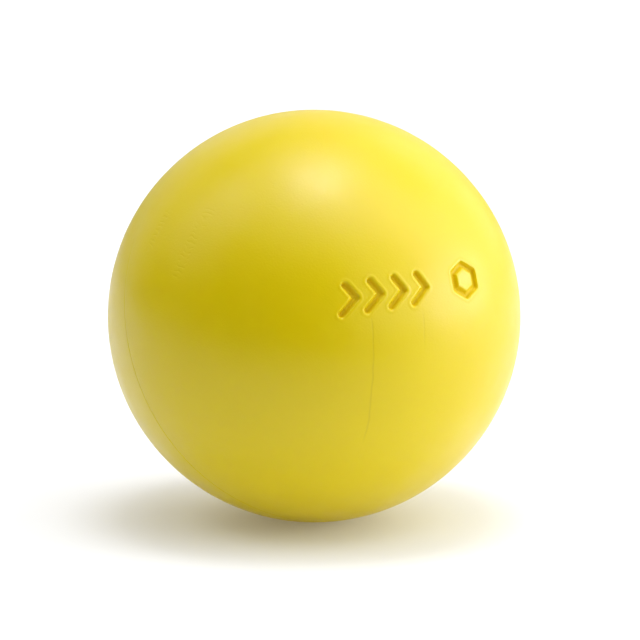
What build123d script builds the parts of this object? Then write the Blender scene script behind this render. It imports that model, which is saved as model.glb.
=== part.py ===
from build123d import *
import math
import os

# A table football ball: a foamed plastic core inside two moulded half covers, bonded together.
# Lengths are in millimetres and angles in degrees. The origin is the ball's centre and +Z is up
# as it rests. The mould opened along one axis, the pole, which points forwards (-Y) and a little
# up; the parting plane is square to it and the recessed mark is pressed in around it.

ball_diameter = 34.0
cover_thickness = 3.0
bond_line = 0.05            # resin between the core and the covers, and inside the lap joint

pole_elevation = 17.5       # the pole's angle above level while the ball rests
mark_roll = 2.5             # turn of the mark about the pole, anticlockwise seen from outside

# Lap joint: a lip on the rear half enters a rebate cut inside the rim of the front half.
lip_height = 1.5
lip_thickness = 1.4
parting_bevel = 0.06        # broken edge on each rim, which leaves a hairline at the surface

# Recessed mark: a row of slanted chevrons, a space and a hexagon, all drawn in one stroke width.
mark_depth = 0.34
mark_stroke = 0.5
chevron_count = 4
chevron_pitch = 2.0
chevron_width = 0.95        # between the middles of the stroke
chevron_height = 2.2
chevron_slant = 15.0
chevron_row_x = -1.95       # middle of the row, from the pole
chevron_row_y = -0.2
hexagon_size = 2.5          # across its corners, between the middles of the stroke
hexagon_x = 5.6
hexagon_y = 0.0

# Sizes that follow from the ones above.
ball_radius = ball_diameter / 2
cover_inner_radius = ball_radius - cover_thickness
core_radius = cover_inner_radius - bond_line
lip_outer_radius = cover_inner_radius + lip_thickness
rebate_radius = lip_outer_radius + bond_line
rebate_height = lip_height + bond_line

# The mould's own frame: local Z is the pole, local X runs along the mark, local Z = 0 is the
# parting plane.
pole_plane = Plane(
    origin=(0, 0, 0),
    x_dir=(1, 0, 0),
    z_dir=(0, -math.cos(math.radians(pole_elevation)), math.sin(math.radians(pole_elevation))),
)


def half_shell(keep):
    """Half of a hollow sphere, on one side of the parting plane, with its outer rim broken."""
    shell = Sphere(ball_radius) - Sphere(cover_inner_radius)
    half = split(shell, bisect_by=Plane.XY, keep=keep)
    rim = half.edges().filter_by(GeomType.CIRCLE).sort_by(SortBy.LENGTH)[-1]
    return chamfer(rim, parting_bevel)


def stroke_between(start, end):
    """One straight stroke of the mark with round ends."""
    run = Vector(*end) - Vector(*start)
    middle = (Vector(*start) + Vector(*end)) / 2
    angle = math.degrees(math.atan2(run.Y, run.X))
    return Pos(middle.X, middle.Y) * Rot(0, 0, angle) * SlotCenterToCenter(run.length, mark_stroke)


def slanted(x, y):
    """A point moved sideways in proportion to its height, as slanted writing is."""
    return (x + y * math.tan(math.radians(chevron_slant)), y)


def chevron():
    """Two strokes that meet at a point on the right."""
    tip = slanted(chevron_width / 2, 0)
    upper = stroke_between(slanted(-chevron_width / 2, chevron_height / 2), tip)
    lower = stroke_between(slanted(-chevron_width / 2, -chevron_height / 2), tip)
    return upper + lower


def hexagon():
    """A hexagon drawn as six strokes, standing on a corner."""
    corners = []
    for side in range(6):
        turn = math.radians(90 + 60 * side)
        corners.append((hexagon_size / 2 * math.cos(turn), hexagon_size / 2 * math.sin(turn)))
    outline = stroke_between(corners[-1], corners[0])
    for start, end in zip(corners, corners[1:]):
        outline += stroke_between(start, end)
    return outline


def mark_sketch():
    """The whole mark, flat, with the pole at its origin."""
    sketch = Pos(hexagon_x, hexagon_y) * hexagon()
    first_x = chevron_row_x - chevron_pitch * (chevron_count - 1) / 2
    for place in range(chevron_count):
        sketch += Pos(first_x + chevron_pitch * place, chevron_row_y) * chevron()
    return Rot(0, 0, mark_roll) * sketch


def mark_cutter():
    """The mark carried out along the pole from a floor that keeps one depth below the surface."""
    blank = extrude(Pos(0, 0, cover_inner_radius / 2) * mark_sketch(), amount=ball_radius)
    return blank - Sphere(ball_radius - mark_depth)


def make_cover_front():
    """The half with the mark: its rim is cut away inside to take the other half's lip."""
    rebate = Cylinder(rebate_radius, rebate_height, align=(Align.CENTER, Align.CENTER, Align.MIN))
    return half_shell(Keep.TOP) - rebate - mark_cutter()


def make_cover_rear():
    """The plain half, with the lip that stands past the parting plane around the core."""
    lip = Cylinder(lip_outer_radius, lip_height, align=(Align.CENTER, Align.CENTER, Align.MIN))
    return half_shell(Keep.BOTTOM) + (lip - Sphere(cover_inner_radius))


def make_core():
    """The solid foamed ball in the middle."""
    return Sphere(core_radius)


os.makedirs("parts", exist_ok=True)
pieces = {
    "cover_front": make_cover_front(),
    "cover_rear": make_cover_rear(),
    "core": make_core(),
}
for name, piece in pieces.items():
    placed = pole_plane.location * piece
    placed.label = name
    export_step(placed, f"parts/{name}.step")
    print(name, "volume", round(placed.volume, 2), "solids", len(placed.solids()))
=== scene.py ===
import math
import bpy
import numpy as np
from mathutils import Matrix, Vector


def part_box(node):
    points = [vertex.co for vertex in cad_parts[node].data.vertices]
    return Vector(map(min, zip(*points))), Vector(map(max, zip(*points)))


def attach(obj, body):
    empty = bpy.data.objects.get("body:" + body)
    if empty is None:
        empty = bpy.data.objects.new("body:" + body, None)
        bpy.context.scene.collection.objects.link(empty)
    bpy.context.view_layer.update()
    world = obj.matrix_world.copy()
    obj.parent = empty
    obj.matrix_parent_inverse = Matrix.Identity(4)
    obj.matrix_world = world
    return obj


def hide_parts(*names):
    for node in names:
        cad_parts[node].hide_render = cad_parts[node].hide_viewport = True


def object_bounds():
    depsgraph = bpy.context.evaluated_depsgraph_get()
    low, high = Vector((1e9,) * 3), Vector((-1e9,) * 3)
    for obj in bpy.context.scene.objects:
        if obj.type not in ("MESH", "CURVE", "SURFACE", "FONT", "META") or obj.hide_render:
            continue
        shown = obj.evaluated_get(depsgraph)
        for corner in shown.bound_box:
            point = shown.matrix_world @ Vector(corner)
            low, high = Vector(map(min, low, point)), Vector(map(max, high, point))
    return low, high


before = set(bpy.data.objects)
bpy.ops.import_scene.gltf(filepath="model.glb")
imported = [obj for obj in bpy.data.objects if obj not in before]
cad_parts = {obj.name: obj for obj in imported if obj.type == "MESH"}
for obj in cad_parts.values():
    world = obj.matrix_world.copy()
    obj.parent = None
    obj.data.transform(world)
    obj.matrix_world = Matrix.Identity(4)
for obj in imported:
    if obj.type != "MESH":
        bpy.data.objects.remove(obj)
cadLow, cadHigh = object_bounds()

mm = 0.001                     # the frame is in metres, the sizes below are in millimetres
scene = bpy.context.scene

# The mould opened along the pole. Its frame has X along the mark, Y up the mark and Z out of
# the ball at the pole, and Z = 0 is the parting plane.
poleElevation = math.radians(17.5)
mouldAlong = np.array([1.0, 0.0, 0.0])
mouldUp = np.array([0.0, math.sin(poleElevation), math.cos(poleElevation)])
mouldPole = np.array([0.0, -math.cos(poleElevation), math.sin(poleElevation)])

ballRadius = (cadHigh.x - cadLow.x) / 2 / mm
coreLow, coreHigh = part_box("core")
coreRadius = (coreHigh[0] - coreLow[0]) / 2 / mm


# ---- shared mesh work

meshWork = {
    "fineSteps": 8001,         # samples of a spacing before it is cut into places
    "sharpAngle": 65.0,        # degrees, an edge that folds more than this stays sharp
    "outsideUv": {"middle": (0.39, 0.39), "size": 0.38},
    "insideUv": {"middle": (0.88, 0.88), "size": 0.11},
}


def packedPlaces(low, high, count, spacing):
    # Places from low to high that stand closer together where spacing(place) is small: the
    # running sum of 1 / spacing is cut into equal shares.
    fine = np.linspace(low, high, meshWork["fineSteps"])
    share = np.concatenate([[0.0], np.cumsum(1.0 / spacing((fine[1:] + fine[:-1]) / 2))])
    return np.interp(np.linspace(0.0, share[-1], count), share, fine)


def smoothStep(value, low, high):
    # 0 below low, 1 above high and 3t^2 - 2t^3 between them
    t = np.clip((value - low) / (high - low), 0.0, 1.0)
    return t * t * (3.0 - 2.0 * t)


def meshFrom(name, points, faceSizes, corners, cornerUv, pressed):
    # A mesh from whole arrays: points (n, 3) in metres, the corner count of each face, the
    # point of each corner, the UV of each corner and how far each point is pressed in, 0 to 1.
    mesh = bpy.data.meshes.new(name)
    mesh.vertices.add(len(points))
    mesh.vertices.foreach_set("co", points.astype(np.float32).ravel())
    mesh.loops.add(len(corners))
    mesh.loops.foreach_set("vertex_index", corners.astype(np.int32))
    mesh.polygons.add(len(faceSizes))
    starts = np.concatenate([[0], np.cumsum(faceSizes)[:-1]])
    mesh.polygons.foreach_set("loop_start", starts.astype(np.int32))
    mesh.update(calc_edges=True)
    uvMap = mesh.uv_layers.new(name="OFBake")
    uvMap.data.foreach_set("uv", cornerUv.astype(np.float32).ravel())
    attribute = mesh.attributes.new("pressed", "FLOAT", "POINT")
    attribute.data.foreach_set("value", pressed.astype(np.float32))
    mesh.validate()
    mesh.shade_smooth()
    mesh.set_sharp_from_angle(angle=math.radians(meshWork["sharpAngle"]))
    piece = bpy.data.objects.new(name, mesh)
    scene.collection.objects.link(piece)
    return piece


# ---- the recessed mark: a row of slanted chevrons, a space and a hexagon

mark = {
    "depth": 0.34,             # mm, from the ball's surface to the floor of a stroke
    "stroke": 0.5,             # mm wide
    "wallIn": 0.17,            # mm that the soft wall reaches inside the stroke's edge
    "wallOut": 0.1,            # mm that the soft shoulder reaches outside it
    "lipRise": 0.022,          # mm, the edge that stands up where the stamp pushed skin aside
    "lipAway": 0.21,           # mm from the stroke's edge to the top of that raised edge
    "lipWidth": 0.10,
    "roll": 2.5,               # degrees, the mark climbs to the right
    "chevronCount": 4,
    "chevronPitch": 2.0,
    "chevronWidth": 0.95,      # between the middles of the stroke
    "chevronHeight": 2.2,
    "chevronSlant": 15.0,      # degrees
    "rowX": -1.95,             # middle of the row of chevrons, from the pole
    "rowY": -0.2,
    "hexagonSize": 2.5,        # across its corners, between the middles of the stroke
    "hexagonX": 5.6,
    "hexagonY": 0.0,
}


def markStrokes():
    # The middle line of every straight stroke, as (start, end) pairs in the mould's X and Y.
    strokes = []
    half, lean = mark["chevronWidth"] / 2, math.tan(math.radians(mark["chevronSlant"]))
    rise = mark["chevronHeight"] / 2
    firstX = mark["rowX"] - mark["chevronPitch"] * (mark["chevronCount"] - 1) / 2
    for place in range(mark["chevronCount"]):
        x = firstX + mark["chevronPitch"] * place
        tip = (x + half, mark["rowY"])
        for side in (1, -1):
            tail = (x - half + side * rise * lean, mark["rowY"] + side * rise)
            strokes.append((tail, tip))
    turns = np.radians(90 + 60 * np.arange(7))
    ringX = mark["hexagonX"] + mark["hexagonSize"] / 2 * np.cos(turns)
    ringY = mark["hexagonY"] + mark["hexagonSize"] / 2 * np.sin(turns)
    for side in range(6):
        strokes.append(((ringX[side], ringY[side]), (ringX[side + 1], ringY[side + 1])))
    return strokes


def markEdge(x, y):
    # The distance in mm from each (x, y) to the nearest stroke's edge, less than 0 inside it:
    # the distance to the nearest middle line, less half a stroke.
    roll = math.radians(mark["roll"])
    flatX = x * math.cos(roll) + y * math.sin(roll)
    flatY = y * math.cos(roll) - x * math.sin(roll)
    nearest = np.full(x.shape, 1e9)
    for (startX, startY), (endX, endY) in markStrokes():
        runX, runY = endX - startX, endY - startY
        along = (flatX - startX) * runX + (flatY - startY) * runY
        along = np.clip(along / (runX**2 + runY**2), 0.0, 1.0)
        away = np.hypot(flatX - startX - along * runX, flatY - startY - along * runY)
        nearest = np.minimum(nearest, away)
    return nearest - mark["stroke"] / 2


# ---- the two half covers

cover = {
    "bondLine": 0.05,          # mm of resin round the core and inside the lap joint
    "lipHeight": 1.5,          # mm that the rear half's lip stands past the parting plane
    "lipThickness": 1.4,
    "seamDepth": 0.045,        # mm, the hairline where the two rims meet, at its deepest
    "seamWidth": 0.05,         # mm of each rim that the hairline takes
    "seamDeepest": 207.0,      # degrees round the pole from the mark's right, where it is deepest
    "unevenness": 0.006,       # mm, how far a moulded skin wanders from a true ball
    "calmAtSeam": 1.5,         # mm beside the seam over which that fades out
    "frontPatch": {"half": (7.3, 2.1), "step": 0.04},    # mm, fine enough for the mark
    "rearPatch": {"half": (4.0, 4.0), "step": 0.1},
    "ringsOut": 40,            # rings from the middle patch to the seam
    "spokeReach": 20.0,        # mm, about how long a spoke is from the patch to the seam
    "ringGrowth": 0.22,        # how much wider a ring gets for each mm from either end
    "seamRing": 0.012,         # mm, the ring beside the seam
    "widestRing": 0.7,         # mm
    "lapSteps": 2,             # rings along each straight stretch of the lap joint
    "ringsInside": 12,
}
innerRadius = coreRadius + cover["bondLine"]
toSeam = ballRadius * math.pi / 2      # mm over the surface from the pole


def skinWander(direction):
    # Slow swells over the whole ball: a sum of sine waves 8 to 10 mm long along odd directions.
    waves = [
        (0.42, (0.31, 0.52, 0.12), 0.4),
        (0.27, (-0.48, 0.11, 0.44), 1.9),
        (0.19, (0.22, -0.61, 0.35), 3.3),
        (0.12, (0.66, 0.28, -0.41), 5.2),
    ]
    total = np.zeros(direction.shape[:-1])
    for share, heading, phase in waves:
        total += share * np.sin(direction @ np.array(heading) * ballRadius + phase)
    return total * cover["unevenness"]


seamWave = {
    "level": 0.4,              # shares of the hairline's full depth
    "oneTurn": 0.3,
    "oneTurnShift": 0.3,       # radians
    "threeTurns": 0.3,
    "least": 0.12,
    "rippleLevel": 0.8,
    "ripples": [(0.13, (21.0, 34.0, 13.0)), (0.07, (-88.0, 61.0, 75.0))],
}


def seamStrength(direction):
    # The hairline is uneven: a slow wave of one turn and one of three turns round the seam, both
    # near their top where it is deepest and never under a least share, times two fine ripples.
    turn = np.arctan2(direction @ mouldUp, direction @ mouldAlong) - math.radians(cover["seamDeepest"])
    broad = seamWave["level"] + seamWave["oneTurn"] * np.cos(turn - seamWave["oneTurnShift"])
    broad = np.maximum(broad + seamWave["threeTurns"] * np.cos(3.0 * turn), seamWave["least"])
    ripple = seamWave["rippleLevel"]
    for share, heading in seamWave["ripples"]:
        ripple = ripple + share * np.sin(direction @ np.array(heading))
    return broad * ripple


def skinPoints(arc, angle, axes, marked):
    # The outside at each (distance from the pole over the surface, angle round it): a ball less
    # its swells and the seam's hairline. The mark is then lowered straight along the pole, the
    # way the mould pulled out, to a floor that is a smaller ball, and its edge stands up a
    # little. Returns the points and how far each is pressed in, from 0 to 1.
    along, up, pole = axes
    polar = arc / ballRadius
    x, y = np.sin(polar) * np.cos(angle), np.sin(polar) * np.sin(angle)
    direction = x[..., None] * along + y[..., None] * up + np.cos(polar)[..., None] * pole
    seam = cover["seamDepth"] * np.exp(-(((toSeam - arc) / cover["seamWidth"]) ** 2))
    radius = ballRadius - seam * seamStrength(direction)
    radius = radius - skinWander(direction) * smoothStep(toSeam - arc, 0.0, cover["calmAtSeam"])
    points = direction * radius[..., None]
    if not marked:
        return points, np.zeros(arc.shape)
    edge = markEdge(radius * x, radius * y)
    share = 1.0 - smoothStep(edge, -mark["wallIn"], mark["wallOut"])
    lip = mark["lipRise"] * np.exp(-(((edge - mark["lipAway"]) / mark["lipWidth"]) ** 2))
    aside = (radius * np.sin(polar)) ** 2
    floorHeight = np.sqrt(np.maximum((radius - mark["depth"]) ** 2 - aside, 0.0))
    drop = (radius * np.cos(polar) - floorHeight) * share - lip
    return points - drop[..., None] * pole, share


def lapAndInside(lap):
    # The unseen profile as (radius, height) pairs: in over the lap joint, then back over the
    # inside of the shell to the pole. Heights count from the parting plane.
    corners = [(ballRadius - cover["seamDepth"] / 2, 0.0)] + lap
    share = np.arange(1, cover["lapSteps"] + 1) / cover["lapSteps"]
    parts = []
    for start, end in zip(np.array(corners), np.array(corners)[1:]):
        parts.append(start + (end - start) * share[:, None])
    lastAngle = math.atan2(lap[-1][0], lap[-1][1])
    inside = np.linspace(lastAngle, 0.0, cover["ringsInside"] + 1)[1:-1]
    parts.append(innerRadius * np.stack([np.sin(inside), np.cos(inside)], axis=-1))
    return np.concatenate(parts)


def discUv(reach, angle, disc):
    # A place on a disc: reach is 0 at its middle and 1 at its edge.
    middle, size = disc["middle"], disc["size"]
    u, v = middle[0] + size * reach * np.cos(angle), middle[1] + size * reach * np.sin(angle)
    return np.stack([u, v], axis=-1)


def makeCover(name, side, lap, patch, marked):
    # A closed shell about the half's own pole. A flat rectangular grid is laid over the pole,
    # fine enough for the mark. From its edge, spokes run out over the ball to the seam, in over
    # the lap joint and back over the inside to one point.
    axes = (mouldAlong * side, mouldUp, mouldPole * side)
    columns, rows = [round(2 * size / patch["step"]) + 1 for size in patch["half"]]
    x, y = np.meshgrid(np.linspace(-patch["half"][0], patch["half"][0], columns),
                       np.linspace(-patch["half"][1], patch["half"][1], rows))
    patchArc = ballRadius * np.arcsin(np.hypot(x, y) / ballRadius)
    patchAngle = np.arctan2(y, x)
    grid = np.arange(rows * columns).reshape(rows, columns)
    edge = np.concatenate([grid[0, :-1], grid[:-1, -1], grid[-1, :0:-1], grid[:0:-1, 0]])
    spokeArc, spokeAngle = patchArc.ravel()[edge], patchAngle.ravel()[edge]
    spokes = len(edge)

    # Rings start at the patch's own step, widen, and close up again at the seam.
    def spacing(place):
        fromPatch = patch["step"] + cover["ringGrowth"] * (place * cover["spokeReach"])
        fromSeam = cover["seamRing"] + cover["ringGrowth"] * ((1.0 - place) * cover["spokeReach"])
        return np.minimum(np.minimum(fromPatch, fromSeam), cover["widestRing"])

    share = packedPlaces(0.0, 1.0, cover["ringsOut"], spacing)[1:, None]
    ringArc = spokeArc + (toSeam - spokeArc) * share
    ringAngle = np.broadcast_to(spokeAngle, ringArc.shape)
    hidden = lapAndInside(lap)
    spokeWay = np.cos(spokeAngle)[:, None] * axes[0] + np.sin(spokeAngle)[:, None] * axes[1]
    hiddenPoints = hidden[:, :1, None] * spokeWay + hidden[:, 1:, None] * axes[2]
    patchPoints, patchPressed = skinPoints(patchArc, patchAngle, axes, marked)
    ringPoints, ringPressed = skinPoints(ringArc, ringAngle, axes, marked)
    points = np.concatenate([
        patchPoints.reshape(-1, 3),
        ringPoints.reshape(-1, 3),
        hiddenPoints.reshape(-1, 3),
        [axes[2] * innerRadius],
    ])
    pressed = np.zeros(len(points))
    outside = grid.size + ringArc.size
    pressed[:outside] = np.concatenate([patchPressed.ravel(), ringPressed.ravel()])

    # Faces: the patch, the quads between rings, and a fan that closes the inside.
    ringCount = len(ringArc) + len(hidden)
    ringPoint = grid.size + np.arange(ringCount * spokes).reshape(-1, spokes)
    rings = np.concatenate([edge[None], ringPoint])
    after = np.roll(rings, -1, axis=1)
    quads = np.stack([rings[:-1], rings[1:], after[1:], after[:-1]], axis=-1)
    patchQuads = np.stack([grid[:-1, :-1], grid[:-1, 1:], grid[1:, 1:], grid[1:, :-1]], axis=-1)
    fan = np.stack([rings[-1], np.full(spokes, len(points) - 1), after[-1]], axis=-1)
    outQuads, inQuads = quads[:len(ringArc)], quads[len(ringArc):]
    corners = np.concatenate([part.ravel() for part in (patchQuads, outQuads, inQuads, fan)])
    faceSizes = np.full((len(corners) - 3 * spokes) // 4 + spokes, 4)
    faceSizes[-spokes:] = 3

    # UV: the outside is one large disc, and the lap joint with the inside is a small one.
    steps = np.hypot(*np.diff(np.concatenate([[(ballRadius, 0.0)], hidden]), axis=0).T)
    left = 1.0 - np.cumsum(steps) / (np.sum(steps) + innerRadius * math.pi / 2 / cover["ringsInside"])
    everyAngle = np.concatenate([patchAngle.ravel(), np.tile(spokeAngle, ringCount), [0.0]])
    outReach = np.ones(len(points))
    outReach[:outside] = np.concatenate([patchArc.ravel(), ringArc.ravel()]) / toSeam
    inReach = np.ones(len(points))
    inReach[outside:] = np.append(np.repeat(left, spokes), 0.0)
    places = np.concatenate([
        discUv(outReach, everyAngle, meshWork["outsideUv"]),
        discUv(inReach, everyAngle, meshWork["insideUv"]),
    ])
    insideFrom = patchQuads.size + outQuads.size
    uvSource = corners + np.where(np.arange(len(corners)) < insideFrom, 0, len(points))

    piece = meshFrom(name, points * mm, faceSizes, corners, places[uvSource], pressed)
    print(name, "points", len(points), "triangles", 2 * len(faceSizes) - spokes)
    return piece


def makeFrontCover():
    # The rebate inside the rim takes the other half's lip.
    reach = innerRadius + cover["lipThickness"] + cover["bondLine"]
    rise = cover["lipHeight"] + cover["bondLine"]
    lap = [(reach, 0.0), (reach, rise), (math.sqrt(innerRadius**2 - rise**2), rise)]
    piece = makeCover("front_half_cover", 1.0, lap, cover["frontPatch"], True)
    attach(piece, "root")
    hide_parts("cover_front")
    return piece


def makeRearCover():
    # The lip stands past the parting plane, so its height is negative on this half's own axis.
    reach = innerRadius + cover["lipThickness"]
    rise = cover["lipHeight"]
    lap = [(reach, 0.0), (reach, -rise), (math.sqrt(innerRadius**2 - rise**2), -rise)]
    piece = makeCover("rear_half_cover", -1.0, lap, cover["rearPatch"], False)
    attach(piece, "root")
    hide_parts("cover_rear")
    return piece


# ---- materials

def hexColour(code):
    # An sRGB hex value as linear RGBA.
    values = [int(code[place:place + 2], 16) / 255 for place in (0, 2, 4)]
    linear = [v / 12.92 if v <= 0.04045 else ((v + 0.055) / 1.055) ** 2.4 for v in values]
    return (*linear, 1.0)


def newMaterial(name):
    material = bpy.data.materials.new(name)
    material.use_nodes = True
    material.node_tree.nodes.clear()
    return material


def addNode(material, kind, settings=None):
    # Adds a node. A key that is one of its properties sets that, and any other key is an input,
    # by its label or by its number where labels repeat. A socket as the value makes a link.
    node = material.node_tree.nodes.new(kind)
    for key, value in (settings or {}).items():
        if isinstance(key, str) and hasattr(node, key):
            setattr(node, key, value)
        elif isinstance(value, bpy.types.NodeSocket):
            material.node_tree.links.new(value, node.inputs[key])
        else:
            node.inputs[key].default_value = value
    return node


moulded = {
    "colour": "DAC30B",        # greenish lemon yellow pigment
    "deepColour": "D4BD07",    # where the pigment lies a little thicker
    "recessShadeColour": "DDB403",    # painted shade: a deeper golden in the mark's strokes, for the shade and bounced light inside the recess
    "lineColour": "AE9606",    # along a knit line
    "roughness": (0.31, 0.40),    # from the best polished patches to the dullest
    "patchRange": (0.3, 0.7),     # the noise values that those two stand for
    "recessShade": 0.5,              # how far the mark takes that painted shade
    "pressedRoughness": 0.3,   # added in the mark, which handling never polishes
    "ior": 1.5,
    "cloud": 7.0,              # mm across a cloud of pigment
    "sheenPatch": 2.6,         # mm across a patch of one roughness
    "grain": 0.15,             # mm between the pits of the blasted mould; drawn coarser than
                               # the 0.05 mm taken for the real one, so that it shows
    "grainDepth": 0.011,       # mm
    "depthOfGlow": 0.7,        # mm that light spreads under the skin
    "glowShare": 0.35,         # share of the light that goes under it
    "glowReach": (1.0, 0.7, 0.15),    # red goes furthest in and blue the least
}

# Knit lines, where two fronts of the melt met: the mould's X in mm, Y at the top and at the
# bottom, and strength. Below, what they have in common.
knitLines = [
    {"x": -3.4, "top": -2.0, "bottom": -11.6, "strength": 0.8},
    {"x": 1.03, "top": -1.9, "bottom": -4.8, "strength": 0.5},
]
knit = {
    "halfWidth": (0.11, 0.02),    # mm from the middle to where it starts, and to where it is full
    "wander": 0.5,             # mm from side to side
    "wanderScale": 0.35,       # waves in each mm
    "bottomFade": (0.4, 1.2),    # mm past the end where it starts, and inside it where it is full
    "topFade": (0.3, 0.8),
    "shade": 0.35,             # how far it takes its darker colour
    "depth": 0.008,            # mm
}

# Rows of short chatter marks from a hard edge: first and last point in the mould's frame, mm.
scuffs = [
    {"start": (-12.0, 8.6, 8.4), "end": (-15.4, 3.0, 6.6), "width": 0.60},
    {"start": (-13.6, 9.3, 4.1), "end": (-15.5, 6.2, 3.0), "width": 0.45},
]
tick = {
    "pitch": 0.42,             # mm from one tick to the next
    "depth": 0.011,            # mm
    "gapScale": 0.9,           # waves in each mm of the noise that leaves ticks out
    "gapFade": (0.40, 0.50),    # its values where a tick is gone, and where it is whole
    "shift": 1.5,              # mm that the same noise moves a tick along the track
    "edge": (0.1, 1.0),        # heights of the wave where a tick starts, and where it is full
    "fullWidth": 0.5,          # share of the track's half width where a tick is full
    "endFade": (0.4, 0.6),     # mm past the track's end, and inside it
}


def knitLine(material, x, y, z, line):
    # 1 along a knit line's middle and 0 off it: the distance to a line that wanders a little,
    # faded out at both ends and on the back of the ball.
    wander = addNode(material, "ShaderNodeTexNoise",
                     {"noise_dimensions": "1D", "W": y, "Scale": knit["wanderScale"], "Detail": 2.0})
    middle = addNode(material, "ShaderNodeMath", {
        "operation": "MULTIPLY_ADD",
        0: wander.outputs["Fac"], 1: knit["wander"], 2: line["x"] - knit["wander"] / 2,
    })
    away = addNode(material, "ShaderNodeMath",
                   {"operation": "SUBTRACT", 0: x, 1: middle.outputs[0]})
    away = addNode(material, "ShaderNodeMath", {"operation": "ABSOLUTE", 0: away.outputs[0]})
    product = line["strength"]
    for value, zero, one in (
        (away.outputs[0], *knit["halfWidth"]),
        (y, line["bottom"] - knit["bottomFade"][0], line["bottom"] + knit["bottomFade"][1]),
        (y, line["top"] + knit["topFade"][0], line["top"] - knit["topFade"][1]),
        (z, 0.0, 1.0),
    ):
        fade = addNode(material, "ShaderNodeMapRange", {
            "interpolation_type": "SMOOTHSTEP", "Value": value, "From Min": zero, "From Max": one,
        })
        product = addNode(material, "ShaderNodeMath",
                          {"operation": "MULTIPLY", 0: fade.outputs[0], 1: product}).outputs[0]
    return product


def scuffRow(material, place, scuff):
    # Short ticks across a track: bands along it, cut off at its sides and its ends, with some
    # ticks missing where a noise is low.
    start, end = Vector(scuff["start"]), Vector(scuff["end"])
    middle, along = (start + end) / 2, (end - start).normalized()
    across = middle.normalized().cross(along)
    offset = addNode(material, "ShaderNodeVectorMath",
                     {"operation": "SUBTRACT", 0: place, 1: tuple(middle)})
    track = []
    for heading in (along, across):
        track.append(addNode(material, "ShaderNodeVectorMath", {
            "operation": "DOT_PRODUCT", 0: offset.outputs[0], 1: tuple(heading),
        }).outputs["Value"])
    gaps = addNode(material, "ShaderNodeTexNoise",
                   {"Vector": place, "Scale": tick["gapScale"], "Detail": 1.0})
    wave = addNode(material, "ShaderNodeMath", {
        "operation": "MULTIPLY_ADD", 0: gaps.outputs["Fac"], 1: tick["shift"], 2: track[0],
    })
    wave = addNode(material, "ShaderNodeMath",
                   {"operation": "MULTIPLY", 0: wave.outputs[0], 1: 2 * math.pi / tick["pitch"]})
    wave = addNode(material, "ShaderNodeMath", {"operation": "SINE", 0: wave.outputs[0]})
    sides = addNode(material, "ShaderNodeMath", {"operation": "ABSOLUTE", 0: track[1]})
    ends = addNode(material, "ShaderNodeMath", {"operation": "ABSOLUTE", 0: track[0]})
    reach = (end - start).length / 2
    product = 1.0
    for value, zero, one in (
        (wave.outputs[0], *tick["edge"]),
        (sides.outputs[0], scuff["width"], scuff["width"] * tick["fullWidth"]),
        (ends.outputs[0], reach + tick["endFade"][0], reach - tick["endFade"][1]),
        (gaps.outputs["Fac"], *tick["gapFade"]),
    ):
        fade = addNode(material, "ShaderNodeMapRange", {
            "interpolation_type": "SMOOTHSTEP", "Value": value, "From Min": zero, "From Max": one,
        })
        product = addNode(material, "ShaderNodeMath",
                          {"operation": "MULTIPLY", 0: fade.outputs[0], 1: product}).outputs[0]
    return product


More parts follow.
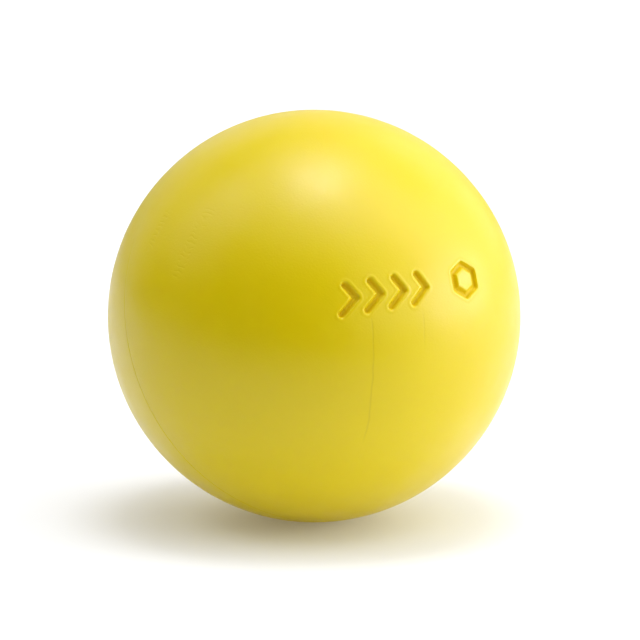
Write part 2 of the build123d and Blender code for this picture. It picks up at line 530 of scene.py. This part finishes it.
def mouldedPolyurethane():
    # Cast polyurethane from a fine blasted steel mould: a satin sheen with a soft edged
    # highlight, a faint grain inside it, slightly cloudy pigment and light that glows a little
    # way into the skin. Knit lines and chatter marks show as hairs of shade.
    material = newMaterial("satin moulded polyurethane")
    place = addNode(material, "ShaderNodeTexCoord").outputs["Object"]
    # the mould's frame in mm: turned about X until Z is the pole
    mould = addNode(material, "ShaderNodeMapping", {
        "Vector": place, "Scale": (1 / mm, 1 / mm, 1 / mm),
        "Rotation": (poleElevation - math.pi / 2, 0.0, 0.0),
    }).outputs[0]
    apart = addNode(material, "ShaderNodeSeparateXYZ", {0: mould})

    cloud = addNode(material, "ShaderNodeTexNoise",
                    {"Vector": mould, "Scale": 1 / moulded["cloud"], "Detail": 3.0})
    colour = addNode(material, "ShaderNodeMix", {
        "data_type": "RGBA", 0: cloud.outputs["Fac"],
        6: hexColour(moulded["colour"]), 7: hexColour(moulded["deepColour"]),
    }).outputs[2]
    pressed = addNode(material, "ShaderNodeAttribute", {"attribute_name": "pressed"}).outputs["Fac"]
    # painted shade: the pressed-in strokes take a deeper golden colour, standing in for the shade and
    # bounced light inside the recess
    recessShade = addNode(material, "ShaderNodeMath", {"operation": "MULTIPLY", 0: pressed, 1: moulded["recessShade"]})
    colour = addNode(material, "ShaderNodeMix", {
        "data_type": "RGBA", 0: recessShade.outputs[0], 6: colour, 7: hexColour(moulded["recessShadeColour"]),
    }).outputs[2]

    lines = 0.0
    for line in knitLines:
        share = knitLine(material, apart.outputs["X"], apart.outputs["Y"], apart.outputs["Z"], line)
        lines = addNode(material, "ShaderNodeMath",
                        {"operation": "MAXIMUM", 0: share, 1: lines}).outputs[0]
    lineShade = addNode(material, "ShaderNodeMath",
                        {"operation": "MULTIPLY", 0: lines, 1: knit["shade"]})
    colour = addNode(material, "ShaderNodeMix", {
        "data_type": "RGBA", 0: lineShade.outputs[0], 6: colour, 7: hexColour(moulded["lineColour"]),
    }).outputs[2]

    ticks = 0.0
    for scuff in scuffs:
        share = scuffRow(material, mould, scuff)
        ticks = addNode(material, "ShaderNodeMath",
                        {"operation": "MAXIMUM", 0: share, 1: ticks}).outputs[0]
    grain = addNode(material, "ShaderNodeTexNoise",
                    {"Vector": mould, "Scale": 1 / moulded["grain"], "Detail": 2.0})
    patches = addNode(material, "ShaderNodeTexNoise",
                      {"Vector": mould, "Scale": 1 / moulded["sheenPatch"], "Detail": 3.0})
    roughness = addNode(material, "ShaderNodeMapRange", {
        "Value": patches.outputs["Fac"],
        "From Min": moulded["patchRange"][0], "From Max": moulded["patchRange"][1],
        "To Min": moulded["roughness"][0], "To Max": moulded["roughness"][1],
    })
    roughness = addNode(material, "ShaderNodeMath", {
        "operation": "MULTIPLY_ADD", 0: pressed, 1: moulded["pressedRoughness"], 2: roughness.outputs[0],
    })

    bump = addNode(material, "ShaderNodeBump", {
        "Height": grain.outputs["Fac"], "Strength": 1.0, "Distance": moulded["grainDepth"] * mm,
    })
    bump = addNode(material, "ShaderNodeBump", {
        "Height": lines, "Strength": 1.0, "Distance": knit["depth"] * mm, "invert": True,
        "Normal": bump.outputs["Normal"],
    })
    bump = addNode(material, "ShaderNodeBump", {
        "Height": ticks, "Strength": 1.0, "Distance": tick["depth"] * mm, "invert": True,
        "Normal": bump.outputs["Normal"],
    })
    shader = addNode(material, "ShaderNodeBsdfPrincipled", {
        "Base Color": colour, "Roughness": roughness.outputs[0], "IOR": moulded["ior"],
        "Subsurface Weight": moulded["glowShare"],
        "Subsurface Scale": moulded["depthOfGlow"] * mm,
        "Subsurface Radius": moulded["glowReach"], "Normal": bump.outputs["Normal"],
    })
    addNode(material, "ShaderNodeOutputMaterial", {"Surface": shader.outputs["BSDF"]})
    return material


foam = {
    "colour": "E8E1CC",
    # painted shade: the colour of each cell's hollow middle
    "cellShadeColour": "CFC6AD",
    "cell": 0.35,              # mm across a cut cell
    "cellDepth": 0.1,          # mm
    "cellStrength": 0.6,
    "unevenCells": 0.9,        # 0 in rows, 1 quite irregular
    "roughness": 0.85,
    "ior": 1.5,
}


def rigidFoam():
    # Rigid polyurethane foam: cream, dull and open with small round cells, drawn darker towards their
    # hollow middles as painted shade.
    material = newMaterial("rigid polyurethane foam")
    place = addNode(material, "ShaderNodeTexCoord").outputs["Object"]
    cells = addNode(material, "ShaderNodeTexVoronoi", {
        "Vector": place, "Scale": 1 / (foam["cell"] * mm), "Randomness": foam["unevenCells"],
    })
    # painted shade: each cell darkens towards its middle, where the bump makes its hollow deepest
    colour = addNode(material, "ShaderNodeMix", {
        "data_type": "RGBA", 0: cells.outputs["Distance"],
        6: hexColour(foam["cellShadeColour"]), 7: hexColour(foam["colour"]),
    })
    bump = addNode(material, "ShaderNodeBump", {
        "Height": cells.outputs["Distance"], "Strength": foam["cellStrength"],
        "Distance": foam["cellDepth"] * mm,
    })
    shader = addNode(material, "ShaderNodeBsdfPrincipled", {
        "Base Color": colour.outputs[2], "Roughness": foam["roughness"], "IOR": foam["ior"],
        "Normal": bump.outputs["Normal"],
    })
    addNode(material, "ShaderNodeOutputMaterial", {"Surface": shader.outputs["BSDF"]})
    return material


# ---- stage, lights and camera

studio = {
    "tableWidth": 5.0,         # m
    "tableFront": 0.085,       # m from the ball's centre to the table's front edge
    "tableBack": 0.40,         # m to its back edge, short of the panels, so that all of it is lit
    "tableColour": "DCDFE6",   # white acrylic, a little cool
    "tableRoughness": 0.9,
    "tableSpecular": 0.1,
    "tableGlow": 0.15,         # light that comes up through it, which softens the shadow
    "glowColour": "FFF4DC",    # that light, a little warm
    "dome": 0.04,              # light from all round
    "backdrop": 1.1,           # brightness of what the camera sees past the floor
}

# Each panel of light: azimuth from the camera's right in degrees (0 right, 90 behind the ball),
# elevation, distance, width and height in metres, and radiance. The directions and sizes are
# cells of a regular grid round the ball, some of them merged. The radiances began as a least
# squares fit for one view and were then rounded, and most were changed after that, so they
# aren't a studio that anyone set up.
panels = {
    "overhead diffuser": {"turn": 0.0, "rise": 90.0, "away": 0.75, "size": (1.4, 1.2), "glow": 0.80},
    "overhead softbox": {"turn": 0.0, "rise": 87.0, "away": 0.70, "size": (0.55, 0.50), "glow": 1.4},
    "lamp in the softbox": {"turn": 0.0, "rise": 87.0, "away": 0.69, "size": (0.22, 0.22), "glow": 8.0},
    "right strip": {"turn": 0.0, "rise": 10.0, "away": 0.9, "size": (0.73, 0.30), "glow": 5.8},
    "right panel": {"turn": 0.0, "rise": 32.0, "away": 0.9, "size": (0.63, 0.40), "glow": 2.3},
    "right upper panel": {"turn": 0.0, "rise": 55.0, "away": 0.9, "size": (0.43, 0.32), "glow": 1.6},
    "right front card": {"turn": -45.0, "rise": 10.0, "away": 0.9, "size": (0.73, 0.30), "glow": 2.0},
    "right front upper card": {"turn": -45.0, "rise": 44.0, "away": 0.9, "size": (0.53, 0.72), "glow": 1.2},
    "right back card": {"turn": 45.0, "rise": 22.0, "away": 0.9, "size": (0.68, 0.70), "glow": 1.2},
    "back card": {"turn": 90.0, "rise": 22.0, "away": 0.9, "size": (0.68, 0.70), "glow": 0.7},
    "left back card": {"turn": 135.0, "rise": 22.0, "away": 0.9, "size": (0.68, 0.70), "glow": 0.60},
    "left upper card": {"turn": 180.0, "rise": 43.0, "away": 0.9, "size": (0.53, 0.72), "glow": 1.3},
    "front upper card": {"turn": 270.0, "rise": 55.0, "away": 0.9, "size": (0.43, 0.32), "glow": 0.5},
}

shot = {
    "azimuth": -27.5,          # degrees, from the side that the mark faces
    "elevation": 11.0,
    "away": 0.340,             # m, from the ball's centre
    "lens": 232.0,
    "sensor": 36.0,            # mm
    "clip": (0.01, 20.0),      # m
    "aimRight": 0.48,          # mm, the aim point from the ball's centre
    "aimUp": -0.33,
}


def shotAxes():
    # The camera's right, up and backward directions, for an azimuth about +Z from -Y.
    a, e = math.radians(shot["azimuth"]), math.radians(shot["elevation"])
    back = Vector((math.sin(a) * math.cos(e), -math.cos(a) * math.cos(e), math.sin(e)))
    right = Vector((math.cos(a), math.sin(a), 0.0))
    return right, back.cross(right), back


def makeCamera():
    right, up, back = shotAxes()
    data = bpy.data.cameras.new("camera")
    data.lens = shot["lens"]
    data.sensor_width = shot["sensor"]
    data.clip_start, data.clip_end = shot["clip"]
    camera = bpy.data.objects.new("camera", data)
    scene.collection.objects.link(camera)
    target = right * shot["aimRight"] * mm + up * shot["aimUp"] * mm
    camera.location = target + back * shot["away"]
    camera.rotation_mode = "QUATERNION"
    camera.rotation_quaternion = (-back).to_track_quat("-Z", "Y")
    scene.camera = camera


def makePanels():
    right, up, back = shotAxes()
    ahead = Vector((0.0, 0.0, 1.0)).cross(right)      # level, away from the camera
    for name, panel in panels.items():
        turn, rise = math.radians(panel["turn"]), math.radians(panel["rise"])
        level = right * math.cos(turn) + ahead * math.sin(turn)
        towards = level * math.cos(rise) + Vector((0.0, 0.0, math.sin(rise)))
        data = bpy.data.lights.new(name, "AREA")
        data.shape = "RECTANGLE"
        data.size, data.size_y = panel["size"]
        # a panel of radiance L and area A sends out pi L A watts
        data.energy = math.pi * panel["glow"] * data.size * data.size_y
        light = bpy.data.objects.new(name, data)
        light.location = towards * panel["away"]
        light.rotation_mode = "QUATERNION"
        light.rotation_quaternion = (-towards).to_track_quat("-Z", "Y")
        light.visible_camera = False
        scene.collection.objects.link(light)


def makeFloor():
    # A plain sheet under the ball, level with the lowest point of the CAD model.
    half, level = studio["tableWidth"] / 2, Vector((0.0, 0.0, cadLow.z))
    front, back = -studio["tableFront"], studio["tableBack"]
    right = shotAxes()[0]
    ahead = Vector((0.0, 0.0, 1.0)).cross(right)
    mesh = bpy.data.meshes.new("floor")
    corners = []
    for side, reach in ((-1, front), (1, front), (1, back), (-1, back)):
        corners.append(level + right * side * half + ahead * reach)
    mesh.from_pydata(corners, [], [(0, 1, 2, 3)])
    floor = bpy.data.objects.new("floor", mesh)
    scene.collection.objects.link(floor)
    material = newMaterial("white acrylic light table")
    shader = addNode(material, "ShaderNodeBsdfPrincipled", {
        "Base Color": hexColour(studio["tableColour"]), "Roughness": studio["tableRoughness"],
        "Specular IOR Level": studio["tableSpecular"], "Emission Color": hexColour(studio["glowColour"]),
        "Emission Strength": studio["tableGlow"],
    })
    addNode(material, "ShaderNodeOutputMaterial", {"Surface": shader.outputs["BSDF"]})
    mesh.materials.append(material)


def makeDome():
    # Even light from all round, and a white backdrop where the camera looks past the floor.
    world = bpy.data.worlds.new("studio")
    world.use_nodes = True
    world.node_tree.nodes.clear()
    rays = addNode(world, "ShaderNodeLightPath")
    strength = addNode(world, "ShaderNodeMix", {
        0: rays.outputs["Is Camera Ray"], 2: studio["dome"], 3: studio["backdrop"],
    })
    glow = addNode(world, "ShaderNodeBackground", {"Strength": strength.outputs[0]})
    glow.inputs["Color"].default_value = (1.0, 1.0, 1.0, 1.0)
    addNode(world, "ShaderNodeOutputWorld", {"Surface": glow.outputs["Background"]})
    scene.world = world


# Darkens the deepest tones, set to make up for lights that leave them too pale. Pairs of light
# and tone, from 0 to 1.
toneCurve = [(0.0, 0.0), (0.02, 0.009), (0.05, 0.033), (0.09, 0.082), (0.15, 0.15), (1.0, 1.0)]


def setTones():
    view = scene.view_settings
    view.view_transform = "Standard"
    view.use_curve_mapping = True
    curve = view.curve_mapping.curves[3]
    for light, tone in toneCurve[1:-1]:
        curve.points.new(light, tone)
    view.curve_mapping.update()


# ---- the build

frontCover = makeFrontCover()
rearCover = makeRearCover()
print("covers made")

coverMaterial = mouldedPolyurethane()
for piece in (frontCover, rearCover):
    piece.data.materials.append(coverMaterial)
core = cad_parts["core"]
core.data.materials.clear()
core.data.materials.append(rigidFoam())
print("materials made")

setTones()
makeFloor()
makeDome()
makePanels()
makeCamera()
print("stage, lights and camera made")
